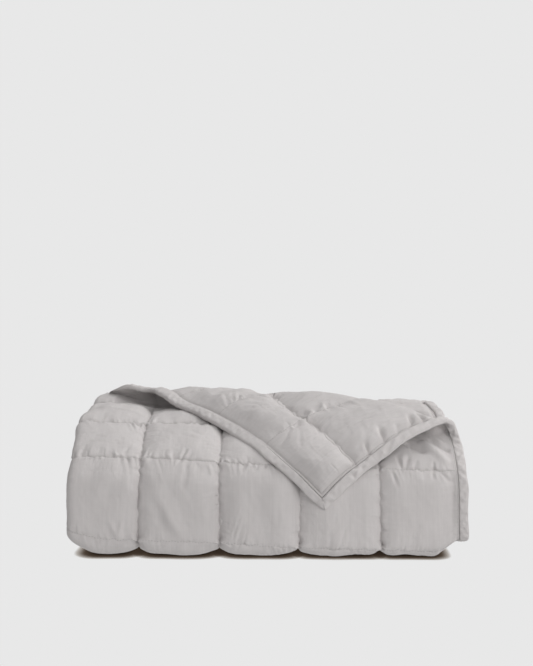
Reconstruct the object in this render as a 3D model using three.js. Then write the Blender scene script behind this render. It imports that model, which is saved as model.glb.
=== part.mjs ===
import * as THREE from 'three';
import { mergeVertices } from 'three/addons/utils/BufferGeometryUtils.js';

// A linen quilt sewn in squares. It is doubled, with the fold on the left and its two long edges on
// the right, laid back and forth, then wrapped once round the front and over the top. One corner of
// the top is turned back and hangs down the front.
// Millimetres: x runs right, y runs back and z runs up. On the flat quilt, w runs across from the
// outer long edge, s runs along from the inner end, and h runs out of the cloth.

// Quilting
const square = { across: 98.5, along: 100.5 };
const edgeColumn = 106.5;
const endRow = 77.6;
const seamBank = square.across / 4;
const bindingWidth = 12.5;
const bindingTurn = 0.4;
const sewnGap = 0.3;

// One ply, in heights over its middle: a square's top, a seam that is pressed by the stack, a seam
// of the free corner, and the trimmed edge
const loft = 6.1;
const pressedSeam = { outside: -2, inside: -4.6 };
const freeSeam = { outside: 1.5, inside: -1.5 };
const edgeHalf = 3;

// The doubled strip
const plyMiddle = 6.6;
const stripHalf = plyMiddle + loft;
const layerPitch = 26.5;
const halfPitch = layerPitch / 2;
const meanReach = { left: -244, right: 247 };
const bottomCorner = 14.8;
const topCorner = 44;

// A row for each run of the strip, from the inner end to the bottom: its level in the stack, the
// depth at which it starts and ends, and how far its sides reach
const runs = [
  { level: 4, start: 268, end: 57, left: -240, right: 240 },
  { level: 3, start: 57, end: 253, left: -248, right: 238 },
  { level: 2, start: 253, end: 53, left: -251, right: 241 },
  { level: 1, start: 53, end: 259, left: -246, right: 239 },
  { level: 0, start: 259, end: stripHalf + bottomCorner, left: -244, right: 244 },
];
const topLevel = 5;
const topEnd = 294;

// The stack is pressed lower towards its front
const pressed = { amount: 0.245, from: 15, to: 159 };
const askew = -0.0436;

// Both ends lift off the floor, the front bulges at its bottom, and the left end is fullest high up
const endLift = { left: 14, leftReach: 50, right: 12.5, rightReach: 40, rightOver: 30, below: 80 };
const bulge = { left: 2, right: 12, below: 110, depth: 120 };
const shoulder = { out: 6.2, back: 178, over: 34, reach: 70 };

// The corner that is turned back
const fold = { alongSide: 235.6, alongEnd: 475.4 };
const roll = { right: 17.1, left: 7.2, step: 7, steps: 8 };
const heave = { amount: 4.2, from: 163, over: 165, wide: 34, end: 30 };
const peak = { from: 380, over: 60, wide: 70 };
const flap = { rest: 14.5, settle: 49.5, shift: -24.7, shiftOver: 26.8 };
const flapLift = { amount: 6, from: 346, over: 249 };
const swing = { below: 254, amount: 0.00247 };
const flapEnd = { slide: 12, lift: 4, from: 0.87, over: 0.07 };
const bareTop = { lift: 13.5, from: 22, over: 45, inset: 11 };
const cornerReach = 0.75;

// Fineness of the faces
const turnSteps = 4;
const pressedDepths = [85, 120, 150];
const besideEdges = [27, 42];
const besideTurn = [12.3, 27.3];
const samples = 1600;
const outerLine = 10;
const snap = 0.6;
const weld = 1e-4;
const closestLines = 4;

const level = (index) => stripHalf + layerPitch * index;
const ease = (t) => t * t * (3 - 2 * t);
const clamp01 = (t) => THREE.MathUtils.clamp(t, 0, 1);

// Middle line of the strip seen from its right side, with depth to the right and height up
function middleLine() {
  const line = new THREE.Path();
  line.moveTo(runs[0].start, level(runs[0].level));
  runs.forEach((run, index) => {
    const height = level(run.level);
    line.lineTo(run.end, height);
    if (index === runs.length - 1) return;
    const toFront = run.end < run.start;
    const last = toFront ? 1.5 * Math.PI : -0.5 * Math.PI;
    line.absarc(run.end, height - halfPitch, halfPitch, Math.PI / 2, last, !toFront);
  });
  const top = level(topLevel);
  const low = stripHalf + bottomCorner;
  line.absarc(low, low, bottomCorner, -Math.PI / 2, -Math.PI, true);
  line.lineTo(stripHalf, top - topCorner);
  line.absarc(stripHalf + topCorner, top - topCorner, topCorner, Math.PI, Math.PI / 2, true);
  line.lineTo(topEnd, top);
  line.curves = line.curves.filter((curve) => curve.getLength() > snap);
  return line;
}

const line = middleLine();

function press(depth, height) {
  const t = clamp01((depth - pressed.from) / (pressed.to - pressed.from));
  const risen = 0.5 * ease(t) + 0.5 * Math.sin((t * Math.PI) / 2);
  return height * (1 - pressed.amount * (1 - risen));
}

// A point at a height over the strip's middle, at a fraction of the line's length
function besideLine(fraction, height) {
  const point = line.getPoint(fraction);
  const along = line.getTangent(fraction);
  const depth = point.x - along.y * height;
  return new THREE.Vector2(depth, press(depth, point.y + along.x * height));
}

// Straight and round stretches of the middle line, each between two fractions of its length
function stretches() {
  const ends = line.getCurveLengths();
  const whole = ends[ends.length - 1];
  return line.curves.map((curve, index) => {
    const from = index === 0 ? 0 : ends[index - 1] / whole;
    return { curve, from, to: ends[index] / whole };
  });
}

const parts = stretches();
const straightParts = parts.filter((part) => part.curve.isLineCurve);
const bottomFraction = straightParts[runs.length - 1].from;

// Lengths measured once the stack is pressed: along the middle of the hidden runs, then along the
// outer ply of the wrap
function measuredLengths() {
  const lengths = [0];
  for (let i = 1; i <= samples; i += 1) {
    const height = i / samples > bottomFraction ? outerLine : 0;
    const step = besideLine(i / samples, height).distanceTo(besideLine((i - 1) / samples, height));
    lengths.push(lengths[i - 1] + step);
  }
  return lengths;
}

const lengths = measuredLengths();
const quiltLength = lengths[samples];
const straightAcross = meanReach.right - meanReach.left - stripHalf;
const turnAcross = Math.PI * plyMiddle;
const turnMiddle = straightAcross + turnAcross / 2;
const quiltWidth = 2 * straightAcross + turnAcross;

function fractionAt(s) {
  if (s >= quiltLength) return 1;
  let low = 0;
  let high = samples;
  while (high - low > 1) {
    const middle = (low + high) >> 1;
    if (lengths[middle] <= s) low = middle;
    else high = middle;
  }
  return (low + (s - lengths[low]) / (lengths[high] - lengths[low])) / samples;
}

function lengthAt(fraction) {
  const place = clamp01(fraction) * samples;
  const low = Math.min(Math.floor(place), samples - 1);
  return THREE.MathUtils.lerp(lengths[low], lengths[low + 1], place - low);
}

const bottomStart = lengthAt(bottomFraction);

// Sides of the strip at a length: level along each run, changing through the turns between
const reachKnots = straightParts.flatMap((part, index) => {
  const reach = index < runs.length ? runs[index] : meanReach;
  return [part.from, part.to].map((place) => ({ s: lengthAt(place), ...reach }));
});

function reachAt(s) {
  const after = reachKnots.findIndex((knot) => knot.s > s);
  if (after === -1) return meanReach;
  if (after === 0) return reachKnots[0];
  const [a, b] = [reachKnots[after - 1], reachKnots[after]];
  const t = (s - a.s) / (b.s - a.s);
  return {
    left: THREE.MathUtils.lerp(a.left, b.left, t),
    right: THREE.MathUtils.lerp(a.right, b.right, t),
  };
}

// Distances from the line on which the corner is turned: t along it and q past it
const foldAngle = Math.atan2(fold.alongSide, fold.alongEnd);
const foldCos = Math.cos(foldAngle);
const foldSin = Math.sin(foldAngle);

function fromFold(w, s) {
  const past = s - (quiltLength - fold.alongSide);
  return { t: w * foldCos + past * foldSin, q: past * foldCos - w * foldSin };
}

// The turned corner draws the top up beside its fold, most of all towards the left end
function heaveAt(w, across) {
  const grown = ease(clamp01((w - heave.from) / heave.over));
  const left = ease(clamp01((turnMiddle - w) / heave.end));
  const risen = ease(clamp01((w - peak.from) / peak.over));
  const wide = THREE.MathUtils.lerp(heave.wide, peak.wide, risen);
  return heave.amount * grown * left * (1 + risen) * Math.exp(-((across / wide) ** 2));
}

// Rolls the corner over the outside of the quilt, onto the top and down the front
function turnCorner(w, s, h) {
  const { t, q } = fromFold(w, s);
  if (q <= 0) return { w, s, h: h + heaveAt(w, q), shift: 0 };
  const along = clamp01((t * foldCos) / fold.alongEnd);
  const radius = THREE.MathUtils.lerp(roll.right, roll.left, along);
  const angle = Math.min(q / radius, Math.PI);
  const over = Math.max(q - Math.PI * radius, 0);
  const lift = flapLift.amount * ease(clamp01((w - flapLift.from) / flapLift.over));
  const rest = flap.rest + lift;
  const settled = rest + (2 * radius - rest) * Math.exp(-((over / flap.settle) ** 2));
  const middle = over > 0 ? settled : radius * (1 - Math.cos(angle));
  const across = over > 0 ? -over : (radius - h) * Math.sin(angle);
  const turned = {
    w: t * foldCos - across * foldSin,
    s: t * foldSin + across * foldCos + quiltLength - fold.alongSide,
    h: middle + h * Math.cos(angle),
  };
  const end = ease(angle / Math.PI) * ease(clamp01((along - flapEnd.from) / flapEnd.over));
  turned.h += heaveAt(turned.w, across) + flapEnd.lift * end;
  const hang = Math.max(quiltLength - swing.below - turned.s, 0);
  const slid = flap.shift * (1 - Math.exp(-((over / flap.shiftOver) ** 2)));
  const hung = over > 0 ? slid + swing.amount * hang * hang : 0;
  turned.shift = hung - flapEnd.slide * end;
  return turned;
}

// How far the inner ply swells where the turned corner leaves it bare
function swellAt(w, s) {
  if (w <= straightAcross + turnAcross) return 0;
  const past = fromFold(quiltWidth - w, s).q;
  return ease(clamp01((past - bareTop.from) / bareTop.over));
}

// How far the left end stands out over the front
function shoulderAt(w, s) {
  const across = ease(clamp01(1 - Math.abs(w - turnMiddle) / shoulder.reach));
  return shoulder.out * across * Math.exp(-(((quiltLength - s - shoulder.back) / shoulder.over) ** 2));
}

// Doubles the quilt: x across the stack, and the height over the strip's middle
function double(w, s, h) {
  const { left, right } = reachAt(s);
  const turnX = left + stripHalf;
  const scale = (right - turnX) / straightAcross;
  const angle = clamp01((w - straightAcross) / turnAcross) * Math.PI;
  const back = Math.max(w - straightAcross - turnAcross, 0) * scale;
  const swell = swellAt(w, s);
  const outer = right - w * scale;
  const inner = turnX - (plyMiddle + h) * Math.sin(angle) + back - bareTop.inset * swell;
  return {
    x: (w <= straightAcross ? outer : inner) - shoulderAt(w, s),
    height: (plyMiddle + h) * Math.cos(angle) + bareTop.lift * swell,
  };
}

// The folded stack as its own weight settles it on the floor
function settle(x, depth, height) {
  const fromLeft = x - meanReach.left;
  const fromRight = meanReach.right - x;
  const left = endLift.left * clamp01(1 - fromLeft / endLift.leftReach) ** 2;
  const right = endLift.right * ease(clamp01((endLift.rightReach - fromRight) / endLift.rightOver));
  const low = clamp01(1 - height / endLift.below) ** 2;
  const across = clamp01(fromLeft / (meanReach.right - meanReach.left));
  const front = clamp01(1 - height / bulge.below) ** 2 * clamp01(1 - depth / bulge.depth);
  const out = THREE.MathUtils.lerp(bulge.left, bulge.right, across) * front;
  return new THREE.Vector3(x, depth - out, height + (left + right) * low);
}

// Place in the folded quilt of a point of the flat one
function folded(w, s, h) {
  const turned = turnCorner(w, s, h);
  const { x, height } = double(turned.w, turned.s, turned.h);
  const skewed = turned.s + askew * x * clamp01((turned.s - bottomStart) / fold.alongSide);
  const place = besideLine(fractionAt(skewed), height);
  const past = Math.max(skewed - quiltLength, 0);
  return settle(x + turned.shift, place.x + past, place.y);
}

// Seams of the squares
const columnSeams = [0, 1, 2, 3, 5, 6, 7, 8].map((index) => edgeColumn + square.across * index);
const rowSeams = [];
for (let s = quiltLength - endRow; s > bottomStart - square.along / 2; s -= square.along) rowSeams.push(s);

const fieldEdge = bindingWidth + sewnGap / 2;
const field = { w0: fieldEdge, w1: quiltWidth - fieldEdge, s0: fieldEdge, s1: quiltLength - fieldEdge };

const nearest = (value, places) => Math.min(...places.map((place) => Math.abs(value - place)));
const bank = (distance) => clamp01(distance / seamBank);

// Heights of the two faces of a ply
function faces(w, s) {
  const rise = bank(nearest(w, columnSeams)) * bank(nearest(s, rowSeams));
  const seam = fromFold(w, s).q > 0 ? freeSeam : pressedSeam;
  const fromEdge = bank(Math.min(w - field.w0, field.w1 - w, s - field.s0, field.s1 - s));
  const blend = (low, high) => THREE.MathUtils.lerp(low, high, rise);
  return {
    outside: THREE.MathUtils.lerp(edgeHalf, blend(seam.outside, loft), fromEdge),
    inside: THREE.MathUtils.lerp(-edgeHalf, blend(seam.inside, -loft), fromEdge),
  };
}

// Lines of the faces across the quilt: banks and tops of the squares, and both ends of the stack
function linesAcross() {
  const lines = [field.w0, field.w1];
  for (const seam of columnSeams) {
    const outer = seam < straightAcross;
    const offsets = outer ? [-2, -1, 0, 1] : [-2, 0];
    offsets.forEach((offset) => lines.push(seam + offset * seamBank));
  }
  lines.push(columnSeams.findLast((seam) => seam < straightAcross) + 2 * seamBank);
  for (let i = 0; i <= turnSteps; i += 1) lines.push(straightAcross + (turnAcross * i) / turnSteps);
  besideTurn.forEach((off) => lines.push(straightAcross - off, straightAcross + turnAcross + off));
  besideEdges.forEach((off) => lines.push(off, quiltWidth - off));
  return tidy(lines, field.w0, field.w1);
}

// Lines of the faces along the quilt: the turns and pressed stretches of the hidden runs, then the
// banks and tops of the squares, closer together round the front corners
function linesAlong() {
  const lines = [field.s0, field.s1];
  for (const part of parts) {
    if (lengthAt(part.from) > bottomStart) break;
    for (let i = 0; i <= turnSteps && !part.curve.isLineCurve; i += 1) {
      lines.push(lengthAt(THREE.MathUtils.lerp(part.from, part.to, i / turnSteps)));
    }
    if (!part.curve.isLineCurve) continue;
    const { v1, v2 } = part.curve;
    for (const depth of pressedDepths) {
      const along = (depth - v1.x) / (v2.x - v1.x);
      const place = lengthAt(THREE.MathUtils.lerp(part.from, part.to, along));
      if (place < bottomStart) lines.push(place);
    }
  }
  const hiddenEnd = bottomStart + seamBank / 2;
  const squares = [];
  for (const seam of rowSeams) [-1, 0, 1, 2].forEach((offset) => squares.push(seam + offset * seamBank));
  for (const part of parts.filter((each) => !each.curve.isLineCurve).slice(-2)) {
    for (let i = 0; i <= turnSteps; i += 1) {
      squares.push(lengthAt(THREE.MathUtils.lerp(part.from, part.to, i / turnSteps)));
    }
  }
  return tidy([...lines, ...squares.filter((s) => s > hiddenEnd)], field.s0, field.s1);
}

// Sorted lines within two ends, none closer than a few millimetres to the one before
function tidy(lines, first, last) {
  const kept = [first];
  for (const place of [...lines].sort((a, b) => a - b)) {
    if (place > kept.at(-1) + closestLines && place < last - closestLines) kept.push(place);
  }
  kept.push(last);
  return kept;
}

// Cuts convex pieces in two where they cross a line parallel to the turned corner's fold
function cutAt(pieces, distance) {
  const done = [];
  for (const piece of pieces) {
    const sides = piece.map(([w, s]) => {
      const off = fromFold(w, s).q - distance;
      return Math.abs(off) < snap ? 0 : off;
    });
    const near = [];
    const far = [];
    piece.forEach((point, index) => {
      const next = (index + 1) % piece.length;
      const [a, b] = [sides[index], sides[next]];
      if (a <= 0) near.push(point);
      if (a >= 0) far.push(point);
      if (a * b >= 0) return;
      const t = a / (a - b);
      const crossing = point.map((value, axis) => value + (piece[next][axis] - value) * t);
      near.push(crossing);
      far.push(crossing);
    });
    if (near.length > 2 && sides.some((side) => side < 0)) done.push(near);
    if (far.length > 2 && sides.some((side) => side > 0)) done.push(far);
  }
  return done;
}

function flatPieces() {
  const across = linesAcross();
  const along = linesAlong();
  let pieces = [];
  for (let i = 1; i < across.length; i += 1) {
    for (let j = 1; j < along.length; j += 1) {
      const [a, b, c, d] = [across[i - 1], across[i], along[j - 1], along[j]];
      pieces.push([[a, c], [b, c], [b, d], [a, d]]);
    }
  }
  for (let i = 0; i <= roll.steps; i += 1) pieces = cutAt(pieces, i * roll.step);
  return pieces;
}

function closedGeometry(triangles) {
  const geometry = new THREE.BufferGeometry().setFromPoints(triangles);
  const merged = mergeVertices(geometry, weld);
  merged.computeVertexNormals();
  return merged;
}

function isOnRim([w, s]) {
  return w === field.w0 || w === field.w1 || s === field.s0 || s === field.s1;
}

// The field of squares: both faces, joined by a wall along the trimmed edges
function quiltGeometry(pieces) {
  const triangles = [];
  const place = ([w, s], side) => folded(w, s, faces(w, s)[side]);
  for (const piece of pieces) {
    for (let i = 1; i < piece.length - 1; i += 1) {
      const corners = [piece[0], piece[i], piece[i + 1]];
      triangles.push(...corners.map((point) => place(point, 'outside')).reverse());
      triangles.push(...corners.map((point) => place(point, 'inside')));
    }
    piece.forEach((a, index) => {
      const b = piece[(index + 1) % piece.length];
      if (!liesOnOneEdge(a, b)) return;
      const [aOut, bOut] = [place(a, 'outside'), place(b, 'outside')];
      const [aIn, bIn] = [place(a, 'inside'), place(b, 'inside')];
      triangles.push(aIn, aOut, bOut, aIn, bOut, bIn);
    });
  }
  return closedGeometry(triangles);
}

function liesOnOneEdge(a, b) {
  const across = a[0] === b[0] && (a[0] === field.w0 || a[0] === field.w1);
  const along = a[1] === b[1] && (a[1] === field.s0 || a[1] === field.s1);
  return across || along;
}

// Points of the trimmed edge in order round the quilt, each with its way out to the bound edge
function rimStations(pieces) {
  const points = new Map();
  for (const point of pieces.flat()) {
    if (isOnRim(point)) points.set(point.map((value) => value.toFixed(3)).join(), point);
  }
  const centre = [quiltWidth / 2, quiltLength / 2];
  const stations = [...points.values()].map(([w, s]) => {
    const out = new THREE.Vector2(
      w === field.w0 ? -1 : Number(w === field.w1),
      s === field.s0 ? -1 : Number(s === field.s1),
    );
    if (out.x !== 0 && out.y !== 0) out.multiplyScalar(cornerReach);
    return { at: [w, s], out, angle: Math.atan2(s - centre[1], w - centre[0]) };
  });
  return stations.sort((a, b) => a.angle - b.angle);
}

// The binding's section: distance out from the trimmed edge, and height
const bindingSection = [
  { out: sewnGap, height: 2.6 },
  { out: 5, height: 3.8 },
  { out: bindingWidth - bindingTurn, height: 1.7 },
  { out: bindingWidth - bindingTurn, height: -1.7 },
  { out: 5, height: -3.8 },
  { out: sewnGap, height: -2.6 },
];

// The binding: one folded strip sewn all round the edge, mitred at the corners
function bindingGeometry(pieces) {
  const stations = rimStations(pieces);
  const rings = stations.map(({ at, out }) => bindingSection.map((point) => (
    folded(at[0] + out.x * point.out, at[1] + out.y * point.out, point.height)
  )));
  const triangles = [];
  rings.forEach((ring, index) => {
    const next = rings[(index + 1) % rings.length];
    ring.forEach((a, corner) => {
      const other = (corner + 1) % ring.length;
      triangles.push(a, next[other], ring[other], a, next[corner], next[other]);
    });
  });
  return closedGeometry(triangles);
}

const linen = { color: 0xbab5b2, roughness: 0.95, metalness: 0 };
const pieces = flatPieces();

const quilt = new THREE.Mesh(quiltGeometry(pieces), new THREE.MeshStandardMaterial(linen));
quilt.name = 'quilt';

const binding = new THREE.Mesh(bindingGeometry(pieces), new THREE.MeshStandardMaterial(linen));
binding.name = 'binding';

// The stack stands on the middle of its underside
const stack = new THREE.Group();
stack.add(quilt, binding);
const middle = new THREE.Box3().setFromObject(stack).getCenter(new THREE.Vector3());
stack.position.set(-middle.x, -middle.y, 0);
stack.updateMatrixWorld(true);

export default stack;
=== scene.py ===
import math

import bpy
import numpy as np
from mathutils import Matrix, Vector


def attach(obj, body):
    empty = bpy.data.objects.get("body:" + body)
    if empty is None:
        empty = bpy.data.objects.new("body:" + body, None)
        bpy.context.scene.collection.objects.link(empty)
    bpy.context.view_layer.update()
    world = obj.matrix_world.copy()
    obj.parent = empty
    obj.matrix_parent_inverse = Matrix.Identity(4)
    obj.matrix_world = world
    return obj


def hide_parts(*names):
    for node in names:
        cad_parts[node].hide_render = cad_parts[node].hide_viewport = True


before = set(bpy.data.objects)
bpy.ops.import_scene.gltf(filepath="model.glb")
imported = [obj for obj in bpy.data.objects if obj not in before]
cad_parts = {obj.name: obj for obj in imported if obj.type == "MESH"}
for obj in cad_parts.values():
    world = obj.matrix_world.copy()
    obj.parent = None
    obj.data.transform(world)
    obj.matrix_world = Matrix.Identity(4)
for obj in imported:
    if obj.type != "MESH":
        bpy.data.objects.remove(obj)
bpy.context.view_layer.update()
scene = bpy.context.scene

# A linen quilt sewn in squares: doubled with the fold on the left, laid back and forth, wrapped once
# round the front and over the top, with one corner of the top turned back down the front.
# Metres: x right, depth to the back, height up. On the flat quilt w runs across from the outer long
# edge, s runs along from the inner end and h runs out of the cloth.

lay = {
    "loft": .0061,                # half the thickness of one ply
    "plyMiddle": .0066,           # from the middle of the doubled strip to the middle of a ply
    "layerPitch": .0265,
    "left": -.244, "right": .247,
    "bottomCorner": .0148, "topCorner": .044,
    "runs": [                     # level in the stack, depth at start and end, reach left and right
        (4, .268, .057, -.240, .240),
        (3, .057, .253, -.248, .238),
        (2, .253, .053, -.251, .241),
        (1, .053, .259, -.246, .239),
        (0, .259, None, -.244, .244),          # up to the corner at the bottom of the front
    ],
    "topLevel": 5, "topEnd": .294,
    "pressed": .245, "pressedFrom": .015, "pressedTo": .159,   # the stack is lower at its front
    "askew": -.0436,
    "outerLine": .010,            # height at which the wrap's length is measured
    "lineStep": .001,
    "centre": (.002178, -.145298),   # from the folding's own place to the part's
}
stripHalf = lay["plyMiddle"] + lay["loft"]

turned = {                        # the corner that is turned back
    "alongSide": .2356, "alongEnd": .4754,
    "rollRight": .0171, "rollLeft": .0064, "rollFill": .9, "rollEase": .012,
    "rest": .0135, "settle": .0495,
    "lift": .006, "liftFrom": .346, "liftOver": .249,
    "shift": -.0247, "shiftOver": .0268,
    "swingBelow": .2544, "swing": 2.474,
    "heave": .0032, "heaveFrom": .14, "heaveOver": .165, "heaveWide": .034, "heaveEnd": .03,
    "peak": 1.7, "peakFrom": .38, "peakOver": .06, "peakWide": .07,
    "endSlide": .008, "endLift": .0045, "endForward": .050, "endBefore": .022,
    "endFrom": .79, "endOver": .15,
    "tipSlide": .020, "tipDrop": .006, "tipFrom": .9, "tipOver": .09,
    "flare": .0100, "flareAt": .770, "flareWide": .080, "flareOver": .018,
    "hug": .0078, "hugReach": .02,
    "billow": .007, "billowAt": .215, "billowWide": .035, "billowRim": .05,
}
bare = {                          # the ply that the corner leaves bare
    "lift": .0178, "liftFrom": .022, "liftOver": .045, "inset": .011, "down": .25, "back": .07,
}
shoulder = {                      # the left end is fullest over the front, and raised behind it
    "out": .0062, "outAt": .178, "outWide": .034, "outReach": .07,
    "up": .0080, "upAt": .045, "upWide": .075, "upReach": .10,
}
settled = {                       # both ends lift off the floor, and the front bulges at its bottom
    "left": .0195, "leftReach": .055, "right": .0165, "rightReach": .043, "rightOver": .032,
    "below": .08, "floor": .0002,
    "bulgeLeft": .002, "bulgeRight": .012, "bulgeBelow": .11, "bulgeDepth": .12,
}


def clamp(t):
    return np.clip(t, 0, 1)


def ease(t):
    t = clamp(t)
    return t * t * (3 - 2 * t)


def mix(a, b, t):
    return a + (b - a) * t


def bell(t):
    return np.exp(-t ** 2)


# Share that has begun at a place, and share that is near one, by the piece's own values
def begun(piece, name, place):
    return ease((place - piece[name + "From"]) / piece[name + "Over"])


def near(piece, name, place):
    return bell((place - piece[name + "At"]) / piece[name + "Wide"])


def summed(steps):
    return np.concatenate([[0], np.cumsum(steps)])


def press(depth, height):
    t = clamp((depth - lay["pressedFrom"]) / (lay["pressedTo"] - lay["pressedFrom"]))
    risen = (ease(t) + np.sin(t * np.pi / 2)) / 2
    return height * (1 - lay["pressed"] * (1 - risen))


lastRun = len(lay["runs"]) - 1


# Middle line of the strip, seen from its right side: points and directions close together
def middleLine():
    half = lay["layerPitch"] / 2
    points, ways, straights = [], [], []

    def straight(a, b):
        a, b = np.array(a), np.array(b)
        length = np.linalg.norm(b - a)
        t = np.linspace(0, 1, max(2, int(length / lay["lineStep"])))[:, None]
        straights.append((len(points), len(points) + len(t) - 1))
        points.extend(a + (b - a) * t)
        ways.extend(np.repeat([(b - a) / length], len(t), 0))

    def bend(middle, radius, start, end):
        angle = np.linspace(start, end, max(8, int(abs(end - start) * radius / lay["lineStep"])))[1:-1]
        turn = np.sign(end - start)
        points.extend(np.array(middle) + radius * np.stack([np.cos(angle), np.sin(angle)], 1))
        ways.extend(turn * np.stack([-np.sin(angle), np.cos(angle)], 1))

    def level(index):
        return stripHalf + lay["layerPitch"] * index

    low = stripHalf + lay["bottomCorner"]
    for index, (place, start, end, _, _) in enumerate(lay["runs"]):
        end = low if end is None else end
        straight((start, level(place)), (end, level(place)))
        if index < lastRun:
            last = 1.5 * np.pi if end < start else -.5 * np.pi
            bend((end, level(place) - half), half, .5 * np.pi, last)
    top = level(lay["topLevel"])
    bend((low, low), lay["bottomCorner"], -.5 * np.pi, -np.pi)
    straight((stripHalf, low), (stripHalf, top - lay["topCorner"]))
    bend((stripHalf + lay["topCorner"], top - lay["topCorner"]), lay["topCorner"], np.pi, .5 * np.pi)
    straight((stripHalf + lay["topCorner"], top), (lay["topEnd"], top))
    return np.array(points), np.array(ways), straights


linePoints, lineWays, straights = middleLine()


def offLine(points, ways, height):
    depth = points[..., 0] - ways[..., 1] * height
    return np.stack([depth, press(depth, points[..., 1] + ways[..., 0] * height)], -1)


# Lengths along the quilt: on the middle of the hidden runs, then on the outer ply of the wrap
bottomIndex = straights[lastRun][0]
hiddenSteps, wrapSteps = (
    np.linalg.norm(np.diff(offLine(linePoints, lineWays, height), axis=0), axis=1)
    for height in (0, lay["outerLine"])
)
lineSteps = np.where(np.arange(len(hiddenSteps)) >= bottomIndex, wrapSteps, hiddenSteps)
lineLengths = summed(lineSteps)
quiltLength = lineLengths[-1]
bottomStart = lineLengths[bottomIndex]
straightAcross = lay["right"] - lay["left"] - stripHalf
turnAcross = np.pi * lay["plyMiddle"]
quiltWidth = 2 * straightAcross + turnAcross

reaches = [(run[3], run[4]) for run in lay["runs"]] + [(lay["left"], lay["right"])] * 2
reachPlaces = [lineLengths[index] for ends in straights for index in ends]
reachLeft = [reach[0] for reach in reaches for _ in range(2)]
reachRight = [reach[1] for reach in reaches for _ in range(2)]

lowPlace = lineLengths[straights[lastRun][1]] + lay["bottomCorner"]
turnMiddle = straightAcross + turnAcross / 2
foldAngle = math.atan2(turned["alongSide"], turned["alongEnd"])
foldCos, foldSin = math.cos(foldAngle), math.sin(foldAngle)
foldStart = quiltLength - turned["alongSide"]


def fromFold(w, s):
    past = s - foldStart
    return w * foldCos + past * foldSin, past * foldCos - w * foldSin


# Share of the fold's length at a place, from the side to the end, and the radius of the roll there
def rollAt(t):
    along = clamp(t * foldCos / turned["alongEnd"])
    return along, mix(turned["rollRight"], turned["rollLeft"], along)


# Rolls the corner over the outside of the quilt, onto the top and down the front
def turnCorner(w, s, h):
    t, q = fromFold(w, s)
    along, radius = rollAt(t)
    angle = np.clip(q / radius, 0, np.pi)
    h = np.minimum(h, turned["rollFill"] * radius + turned["rollEase"] * (1 - np.sin(angle)) ** 2)
    over = np.maximum(q - np.pi * radius, 0)
    rest = turned["rest"] + turned["lift"] * begun(turned, "lift", w)
    held = bell(over / turned["settle"])
    middle = np.where(over > 0, mix(rest, 2 * radius, held), radius * (1 - np.cos(angle)))
    across = np.where(q <= 0, q, np.where(over > 0, -over, (radius - h) * np.sin(angle)))
    newW = t * foldCos - across * foldSin
    newS = t * foldSin + across * foldCos + foldStart
    hang = np.maximum(quiltLength - turned["swingBelow"] - newS, 0)
    slid = turned["shift"] * (1 - bell(over / turned["shiftOver"]))
    shift = np.where(over > 0, slid + turned["swing"] * hang * hang, 0)
    peak = begun(turned, "peak", newW)
    wide = mix(turned["heaveWide"], turned["peakWide"], peak)
    heave = turned["heave"] * begun(turned, "heave", newW)
    heave = heave * (1 + turned["peak"] * peak) * bell(across / wide)
    heave = heave * ease((turnMiddle - newW) / turned["heaveEnd"])
    late = begun(turned, "end", along)
    end = ease(angle / np.pi) * late
    drawn = ease((q + turned["endBefore"]) / (np.pi * radius + turned["endBefore"])) * late
    tip = ease(angle / np.pi) * begun(turned, "tip", along)
    flare = turned["flare"] * near(turned, "flare", along) * (1 - bell(over / turned["flareOver"]))
    rim = np.minimum(w, quiltLength - s)
    hug = turned["hug"] * bell(rim / turned["hugReach"]) * (1 - held)
    billow = turned["billow"] * near(turned, "billow", quiltLength - newS)
    billow = billow * ease(rim / turned["billowRim"]) * (1 - held)
    newH = middle + heave + flare + billow - hug + turned["endLift"] * end - turned["tipDrop"] * tip
    shift = shift - turned["endSlide"] * end - turned["tipSlide"] * tip
    return newW, newS - turned["endForward"] * drawn, newH + h * np.cos(angle), shift


# Doubles the quilt: x across the stack, and the height over the strip's middle
def double(w, s, h):
    left = np.interp(s, reachPlaces, reachLeft) + stripHalf
    right = np.interp(s, reachPlaces, reachRight)
    scale = (right - left) / straightAcross
    angle = np.clip((w - straightAcross) / lay["plyMiddle"], 0, np.pi)
    radius = lay["plyMiddle"] + h
    back = np.maximum(w - straightAcross - turnAcross, 0) * scale
    x = np.where(w <= straightAcross, right - w * scale, left - radius * np.sin(angle) + back)
    past = fromFold(quiltWidth - w, s)[1]
    swell = np.where(w > straightAcross + turnAcross, begun(bare, "lift", past), 0)
    swell = swell * (1 - bare["down"] * ease(1 - (quiltLength - s) / bare["back"]))
    aside = np.abs(w - turnMiddle)
    full, raised = (
        ease(1 - aside / shoulder[name + "Reach"]) * near(shoulder, name, quiltLength - s)
        for name in ("out", "up")
    )
    height = radius * np.cos(angle) + bare["lift"] * swell + shoulder["up"] * raised
    return x - bare["inset"] * swell - shoulder["out"] * full, height


# The stack's own weight: x, depth and height as they settle on the floor
def settle(x, depth, height):
    fromLeft, fromRight = x - lay["left"], lay["right"] - x
    lift = settled["left"] * clamp(1 - fromLeft / settled["leftReach"]) ** 2
    lift = lift + settled["right"] * ease((settled["rightReach"] - fromRight) / settled["rightOver"])
    share = clamp(fromLeft / (lay["right"] - lay["left"]))
    bulge = mix(settled["bulgeLeft"], settled["bulgeRight"], share)
    bulge = bulge * clamp(1 - height / settled["bulgeBelow"]) ** 2
    bulge = bulge * clamp(1 - depth / settled["bulgeDepth"])
    height = height + lift * clamp(1 - height / settled["below"]) ** 2
    return x, depth - bulge, np.maximum(height, settled["floor"])


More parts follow.
